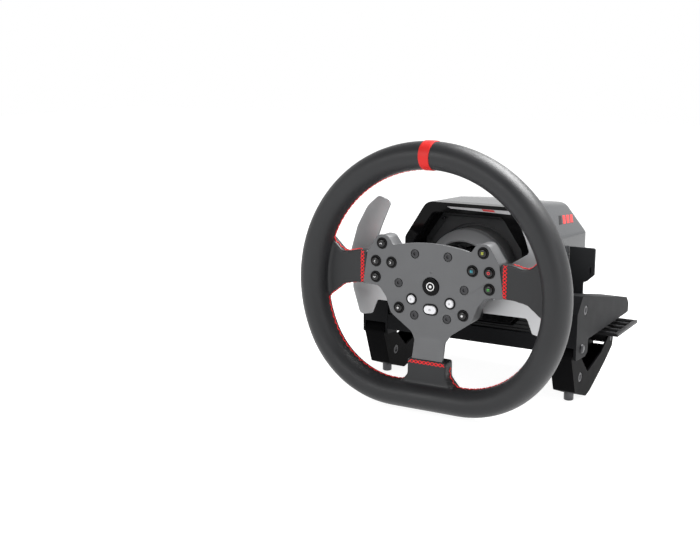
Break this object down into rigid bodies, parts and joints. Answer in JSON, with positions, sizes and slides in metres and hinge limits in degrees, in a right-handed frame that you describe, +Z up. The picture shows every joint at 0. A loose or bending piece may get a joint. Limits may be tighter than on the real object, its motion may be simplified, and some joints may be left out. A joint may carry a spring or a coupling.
{
  "type": "racing wheel",
  "caption": "Force-feedback racing wheel for a desk: D-shaped leather rim, button hub and shift paddles on a belt-driven base with two screw clamps.",
  "frame": {"origin": "centre of the deck's flat underside, which rests on the desk top", "axes": "+X is the driver's right, +Y points away from the driver along the steering axis, +Z is up"},
  "size_m": [0.2848, 0.2744, 0.2667],
  "materials": {
    "leather": "fine pebbled grain, low sheen",
    "red_band": "smooth red band",
    "gunmetal": "fine blasted, anodised",
    "silver_metal": "satin",
    "steel": "turned",
    "black_plastic": "fine moulded texture",
    "gloss_black": "piano gloss",
    "white_plastic": "smooth",
    "dark_sheet": "powder coat",
    "dark_panel": "moulded, satin",
    "grey_shell": "satin paint",
    "circuit_board": "solder mask",
    "rubber": "matt",
    "motor_case": "zinc"
  },
  "bodies": {
    "base": {"housing_shell": "grey_shell", "front_bezel": "gloss_black", "front_panel": "dark_panel", "column_cone": "grey_shell", "rear_cover": "black_plastic", "front_chassis_plate": "dark_sheet", "rear_chassis_plate": "dark_sheet", "front_bearing": "steel", "rear_bearing": "steel", "drive_motor": "motor_case", "drive_belt": "rubber", "cradle_bracket": "dark_sheet", "deck": "dark_sheet", "housing_mount": "black_plastic", "clamp_bracket_right": "dark_sheet", "pivot_pin_right": "steel", "clamp_bracket_left": "dark_sheet", "pivot_pin_left": "steel"},
    "spindle": {"steering_shaft": "steel", "column_pulley": "motor_case"},
    "motor_rotor": {"motor_pulley": "steel"},
    "wheel": {"rim_grip": "leather", "rim_core": "steel", "centre_stripe": "red_band", "hub_plate": "gunmetal", "hub_box": "silver_metal", "button_frame": "black_plastic", "circuit_board": "circuit_board", "hub_badge": "gloss_black", "quick_release_socket": "steel", "paddle_carrier_right": "black_plastic", "paddle_carrier_left": "black_plastic"},
    "collar": {"quick_release_collar": "black_plastic"},
    "dpad_up_key": {"dpad_up_button": "black_plastic"},
    "dpad_left_key": {"dpad_left_button": "black_plastic"},
    "dpad_right_key": {"dpad_right_button": "black_plastic"},
    "dpad_down_key": {"dpad_down_button": "black_plastic"},
    "face_top_key": {"face_top_button": "black_plastic"},
    "face_left_key": {"face_left_button": "black_plastic"},
    "face_right_key": {"face_right_button": "black_plastic"},
    "face_bottom_key": {"face_bottom_button": "black_plastic"},
    "stick_left_key": {"stick_left_button": "black_plastic"},
    "stick_right_key": {"stick_right_button": "black_plastic"},
    "share_key": {"share_button": "white_plastic"},
    "options_key": {"options_button": "white_plastic"},
    "menu_key": {"menu_button": "white_plastic"},
    "upper_paddle_right_lever": {"upper_paddle_right": "silver_metal"},
    "lower_paddle_right_lever": {"lower_paddle_right": "silver_metal"},
    "upper_paddle_left_lever": {"upper_paddle_left": "silver_metal"},
    "lower_paddle_left_lever": {"lower_paddle_left": "silver_metal"},
    "arm_right": {"clamp_arm_right": "black_plastic"},
    "seat_right": {"clamp_seat_right": "steel"},
    "screw_right": {"clamp_screw_right": "steel"},
    "nut_right": {"clamp_nut_right": "steel"},
    "pad_right": {"pressure_pad_right": "black_plastic"},
    "arm_left": {"clamp_arm_left": "black_plastic"},
    "seat_left": {"clamp_seat_left": "steel"},
    "screw_left": {"clamp_screw_left": "steel"},
    "nut_left": {"clamp_nut_left": "steel"},
    "pad_left": {"pressure_pad_left": "black_plastic"}
  },
  "joints": [
    {"name": "steering", "type": "hinge", "parent": "base", "child": "spindle", "pos_m": [0, -0.168, 0.0624], "axis": [0, 1, 0], "range_deg": [-450, 450]},
    {"name": "motor_spin", "type": "hinge", "parent": "base", "child": "motor_rotor", "pos_m": [0.045, -0.019, 0.0791], "axis": [0, 1, 0], "range_deg": [-1800, 1800]},
    {"name": "wheel_release", "type": "slide", "parent": "spindle", "child": "wheel", "axis": [0, -1, 0], "range_m": [0, 0.04]},
    {"name": "collar_pull", "type": "slide", "parent": "wheel", "child": "collar", "axis": [0, -1, 0], "range_m": [0, 0.005], "stiffness_N_per_m": 400, "springref_m": -0.002},
    {"name": "dpad_up_press", "type": "slide", "parent": "wheel", "child": "dpad_up_key", "axis": [0, 1, 0], "range_m": [0, 0.0015], "stiffness_N_per_m": 600, "springref_m": -0.0008},
    {"name": "dpad_left_press", "type": "slide", "parent": "wheel", "child": "dpad_left_key", "axis": [0, 1, 0], "range_m": [0, 0.0015], "stiffness_N_per_m": 600, "springref_m": -0.0008},
    {"name": "dpad_right_press", "type": "slide", "parent": "wheel", "child": "dpad_right_key", "axis": [0, 1, 0], "range_m": [0, 0.0015], "stiffness_N_per_m": 600, "springref_m": -0.0008},
    {"name": "dpad_down_press", "type": "slide", "parent": "wheel", "child": "dpad_down_key", "axis": [0, 1, 0], "range_m": [0, 0.0015], "stiffness_N_per_m": 600, "springref_m": -0.0008},
    {"name": "face_top_press", "type": "slide", "parent": "wheel", "child": "face_top_key", "axis": [0, 1, 0], "range_m": [0, 0.0015], "stiffness_N_per_m": 600, "springref_m": -0.0008},
    {"name": "face_left_press", "type": "slide", "parent": "wheel", "child": "face_left_key", "axis": [0, 1, 0], "range_m": [0, 0.0015], "stiffness_N_per_m": 600, "springref_m": -0.0008},
    {"name": "face_right_press", "type": "slide", "parent": "wheel", "child": "face_right_key", "axis": [0, 1, 0], "range_m": [0, 0.0015], "stiffness_N_per_m": 600, "springref_m": -0.0008},
    {"name": "face_bottom_press", "type": "slide", "parent": "wheel", "child": "face_bottom_key", "axis": [0, 1, 0], "range_m": [0, 0.0015], "stiffness_N_per_m": 600, "springref_m": -0.0008},
    {"name": "stick_left_press", "type": "slide", "parent": "wheel", "child": "stick_left_key", "axis": [0, 1, 0], "range_m": [0, 0.0015], "stiffness_N_per_m": 600, "springref_m": -0.0008},
    {"name": "stick_right_press", "type": "slide", "parent": "wheel", "child": "stick_right_key", "axis": [0, 1, 0], "range_m": [0, 0.0015], "stiffness_N_per_m": 600, "springref_m": -0.0008},
    {"name": "share_press", "type": "slide", "parent": "wheel", "child": "share_key", "axis": [0, 1, 0], "range_m": [0, 0.0015], "stiffness_N_per_m": 600, "springref_m": -0.0008},
    {"name": "options_press", "type": "slide", "parent": "wheel", "child": "options_key", "axis": [0, 1, 0], "range_m": [0, 0.0015], "stiffness_N_per_m": 600, "springref_m": -0.0008},
    {"name": "menu_press", "type": "slide", "parent": "wheel", "child": "menu_key", "axis": [0, 1, 0], "range_m": [0, 0.0015], "stiffness_N_per_m": 600, "springref_m": -0.0008},
    {"name": "upper_paddle_right_pull", "type": "hinge", "parent": "wheel", "child": "upper_paddle_right_lever", "pos_m": [0.036, -0.123, 0.0624], "axis": [0, 0, -1], "range_deg": [0, 5], "stiffness_Nm_per_rad": 2, "springref_deg": -2.86},
    {"name": "lower_paddle_right_pull", "type": "hinge", "parent": "wheel", "child": "lower_paddle_right_lever", "pos_m": [0.036, -0.123, 0.0624], "axis": [0, 0, -1], "range_deg": [0, 5], "stiffness_Nm_per_rad": 2, "springref_deg": -2.86},
    {"name": "upper_paddle_left_pull", "type": "hinge", "parent": "wheel", "child": "upper_paddle_left_lever", "pos_m": [-0.036, -0.123, 0.0624], "axis": [0, 0, 1], "range_deg": [0, 5], "stiffness_Nm_per_rad": 2, "springref_deg": -2.86},
    {"name": "lower_paddle_left_pull", "type": "hinge", "parent": "wheel", "child": "lower_paddle_left_lever", "pos_m": [-0.036, -0.123, 0.0624], "axis": [0, 0, 1], "range_deg": [0, 5], "stiffness_Nm_per_rad": 2, "springref_deg": -2.86},
    {"name": "clamp_right", "type": "hinge", "parent": "base", "child": "arm_right", "pos_m": [0.105, -0.071, -0.0057], "axis": [-1, 0, 0], "range_deg": [0, 12]},
    {"name": "seat_right_turn", "type": "hinge", "parent": "arm_right", "child": "seat_right", "pos_m": [0.105, -0.06105, -0.03831], "axis": [-1, 0, 0], "range_deg": [-8, 0]},
    {"name": "nut_right_turn", "type": "hinge", "parent": "base", "child": "nut_right", "pos_m": [0.105, -0.063, 0.0318], "axis": [-1, 0, 0], "range_deg": [0, 8]},
    {"name": "screw_right_turn", "type": "hinge", "parent": "seat_right", "child": "screw_right", "pos_m": [0.105, -0.0605, -0.0581], "axis": [0, -0.0278, 0.9996], "range_deg": [0, 372]},
    {"name": "pad_right_tilt", "type": "hinge", "parent": "arm_right", "child": "pad_right", "pos_m": [0.105, 0.037, -0.0205], "axis": [1, 0, 0], "range_deg": [0, 14]},
    {"name": "clamp_left", "type": "hinge", "parent": "base", "child": "arm_left", "pos_m": [-0.105, -0.071, -0.0057], "axis": [-1, 0, 0], "range_deg": [0, 12]},
    {"name": "seat_left_turn", "type": "hinge", "parent": "arm_left", "child": "seat_left", "pos_m": [-0.105, -0.06105, -0.03831], "axis": [-1, 0, 0], "range_deg": [-8, 0]},
    {"name": "nut_left_turn", "type": "hinge", "parent": "base", "child": "nut_left", "pos_m": [-0.105, -0.063, 0.0318], "axis": [-1, 0, 0], "range_deg": [0, 8]},
    {"name": "screw_left_turn", "type": "hinge", "parent": "seat_left", "child": "screw_left", "pos_m": [-0.105, -0.0605, -0.0581], "axis": [0, -0.0278, 0.9996], "range_deg": [0, 372]},
    {"name": "pad_left_tilt", "type": "hinge", "parent": "arm_left", "child": "pad_left", "pos_m": [-0.105, 0.037, -0.0205], "axis": [1, 0, 0], "range_deg": [0, 14]}
  ],
  "couplings": [
    {"joint": "motor_spin", "follows": "steering", "ratio": 4},
    {"joint": "seat_right_turn", "follows": "clamp_right", "ratio": -0.5305},
    {"joint": "nut_right_turn", "follows": "clamp_right", "ratio": 0.4695},
    {"joint": "screw_right_turn", "follows": "clamp_right", "ratio": 30.1},
    {"joint": "pad_right_tilt", "follows": "clamp_right", "ratio": 1},
    {"joint": "seat_left_turn", "follows": "clamp_left", "ratio": -0.5305},
    {"joint": "nut_left_turn", "follows": "clamp_left", "ratio": 0.4695},
    {"joint": "screw_left_turn", "follows": "clamp_left", "ratio": 30.1},
    {"joint": "pad_left_tilt", "follows": "clamp_left", "ratio": 1}
  ]
}
